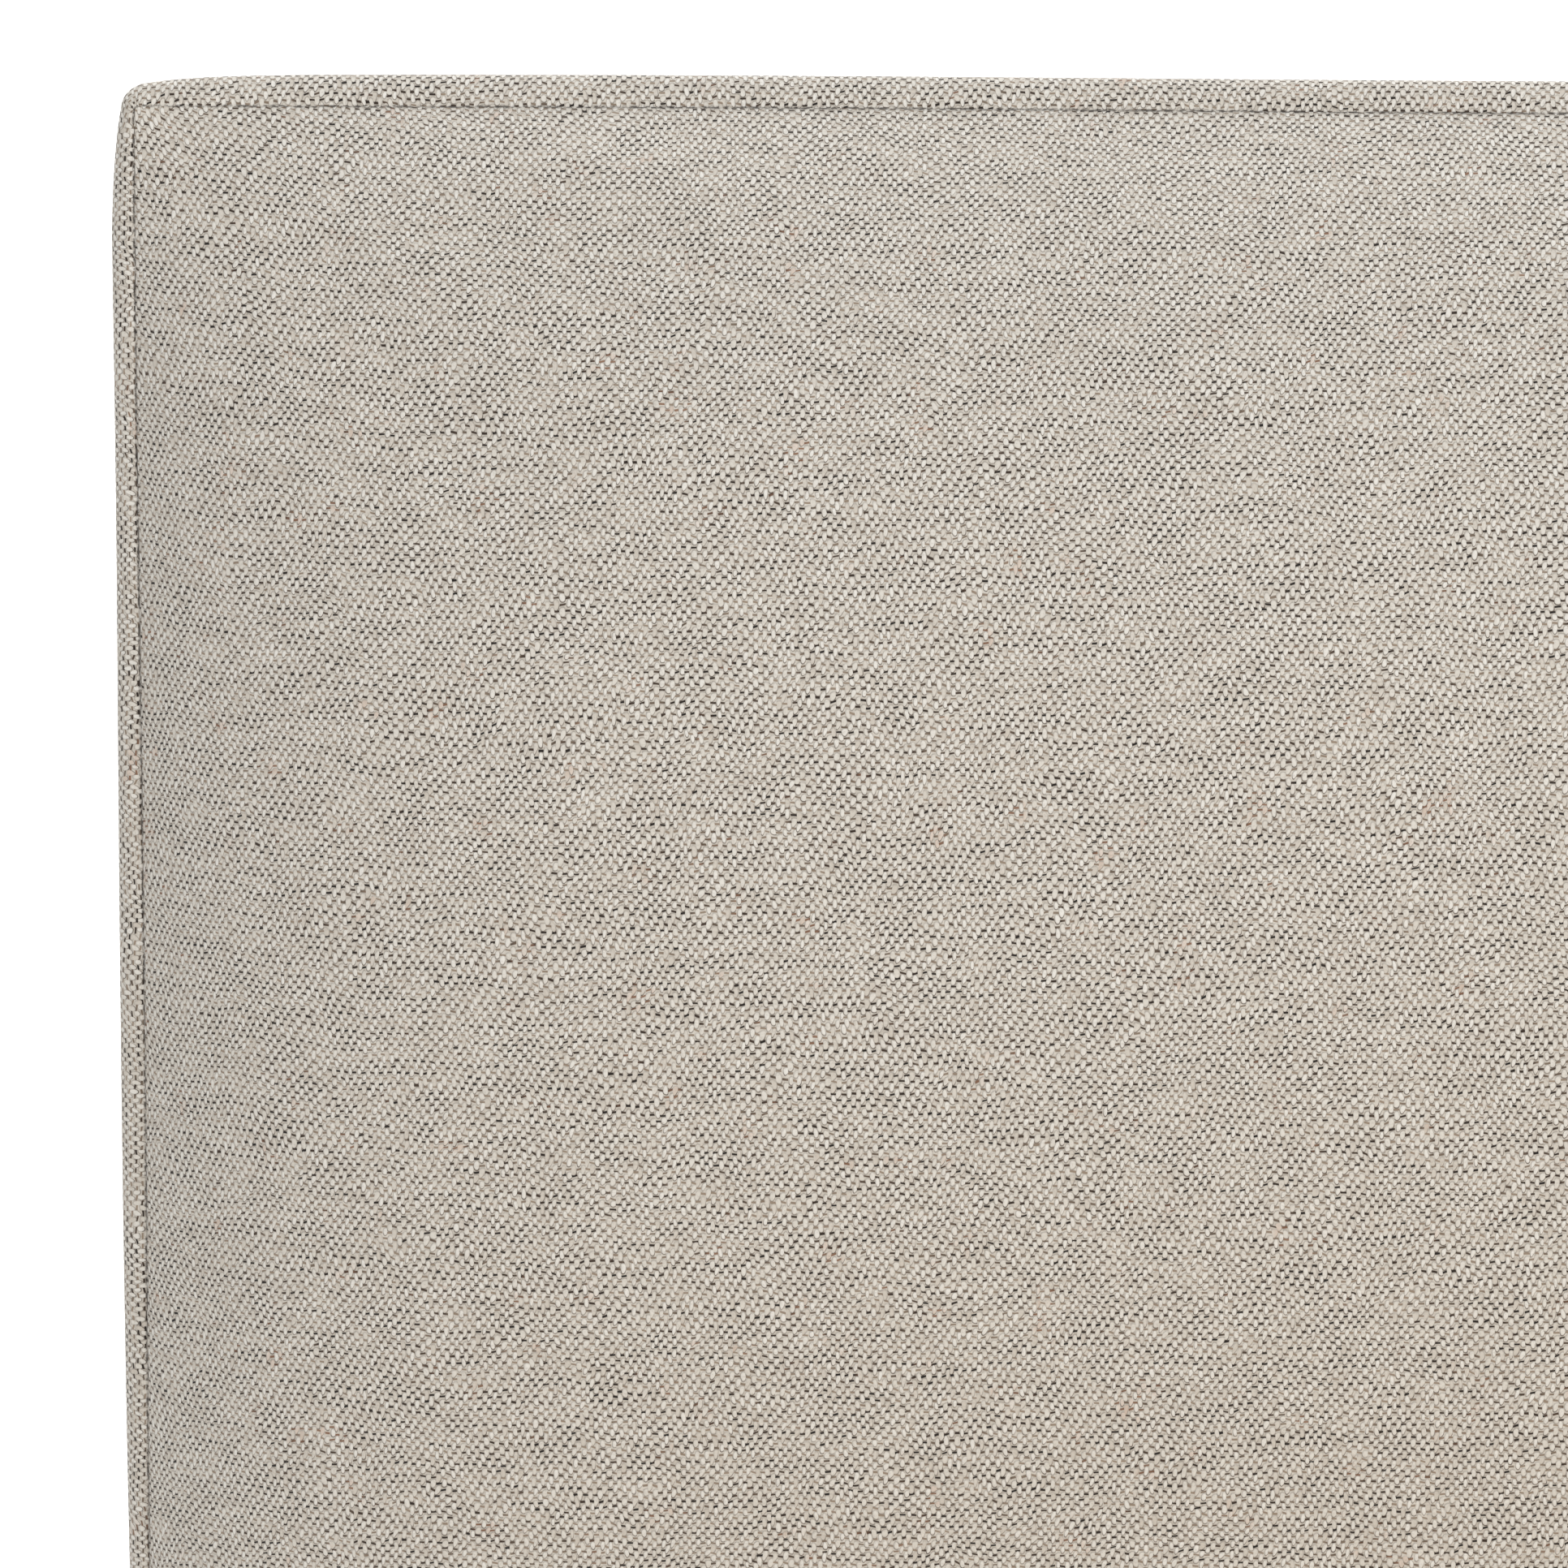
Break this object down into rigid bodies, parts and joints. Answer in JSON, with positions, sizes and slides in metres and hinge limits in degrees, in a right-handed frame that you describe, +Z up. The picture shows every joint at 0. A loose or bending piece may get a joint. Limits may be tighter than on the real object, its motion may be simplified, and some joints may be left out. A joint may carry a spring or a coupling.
{
  "type": "sleigh bed",
  "caption": "Upholstered sleigh bed: swept, padded headboard and footboard joined by padded side rails, with a slat deck for a mattress and screw-down centre feet.",
  "frame": {"origin": "on the floor, in the middle of the bed's outline", "axes": "+X across the bed to its right seen from the foot, +Y from the foot towards the head, +Z up"},
  "size_m": [1.638, 2.482, 1.1816],
  "materials": {
    "tweed": "matt woven tweed",
    "foam": "open-cell foam",
    "plywood": "sanded, bare",
    "pine": "planed, bare",
    "slat_wood": "planed, bare",
    "dark_wood": "satin stain",
    "zinc": "zinc plated",
    "nylon": "moulded",
    "webbing": "woven strap"
  },
  "bodies": {
    "bed": {"head_post_left": "pine", "head_post_right": "pine", "head_ribs": "plywood", "head_top_rail": "pine", "head_bottom_rail": "pine", "head_front_skin": "plywood", "head_back_skin": "plywood", "head_foam": "foam", "head_face_cover": "tweed", "head_apron_cover": "tweed", "head_boxing_cover": "tweed", "head_back_cover": "tweed", "head_block_left": "dark_wood", "head_block_right": "dark_wood", "foot_post_left": "pine", "foot_post_right": "pine", "foot_ribs": "plywood", "foot_top_rail": "pine", "foot_bottom_rail": "pine", "foot_inner_skin": "plywood", "foot_outer_skin": "plywood", "foot_foam": "foam", "foot_inner_cover": "tweed", "foot_outer_cover": "tweed", "foot_boxing_cover": "tweed", "foot_block_left": "dark_wood", "foot_block_right": "dark_wood", "rail_board_left": "plywood", "rail_board_right": "plywood", "rail_cover_left": "tweed", "rail_cover_right": "tweed", "ledger_left": "pine", "ledger_right": "pine", "corner_brackets": "zinc", "corner_bolts": "zinc", "beam_brackets": "zinc", "wood_screws": "zinc", "floor_glides": "nylon", "block_bolts": "zinc", "leveler_tnuts": "zinc", "center_beam": "pine", "slat_webbing": "webbing", "slat_1": "slat_wood", "slat_2": "slat_wood", "slat_3": "slat_wood", "slat_4": "slat_wood", "slat_5": "slat_wood", "slat_6": "slat_wood", "slat_7": "slat_wood", "slat_8": "slat_wood", "slat_9": "slat_wood", "slat_10": "slat_wood", "slat_11": "slat_wood", "slat_12": "slat_wood", "center_leg_1": "pine", "center_leg_2": "pine"},
    "pad_1": {"leveler_pad_1": "nylon"},
    "stud_1": {"leveler_stud_1": "zinc"},
    "pad_2": {"leveler_pad_2": "nylon"},
    "stud_2": {"leveler_stud_2": "zinc"}
  },
  "joints": [
    {"name": "leveler_slide_1", "type": "slide", "parent": "bed", "child": "pad_1", "axis": [0, 0, -1], "range_m": [0, 0.015]},
    {"name": "leveler_turn_1", "type": "hinge", "parent": "pad_1", "child": "stud_1", "pos_m": [0, -0.38353, 0.009], "axis": [0, 0, -1], "range_deg": [0, 3600]},
    {"name": "leveler_slide_2", "type": "slide", "parent": "bed", "child": "pad_2", "axis": [0, 0, -1], "range_m": [0, 0.015]},
    {"name": "leveler_turn_2", "type": "hinge", "parent": "pad_2", "child": "stud_2", "pos_m": [0, 0.32913, 0.009], "axis": [0, 0, -1], "range_deg": [0, 3600]}
  ],
  "couplings": [
    {"joint": "leveler_turn_1", "follows": "leveler_slide_1", "rad_per_m": 4188.8},
    {"joint": "leveler_turn_2", "follows": "leveler_slide_2", "rad_per_m": 4188.8}
  ]
}
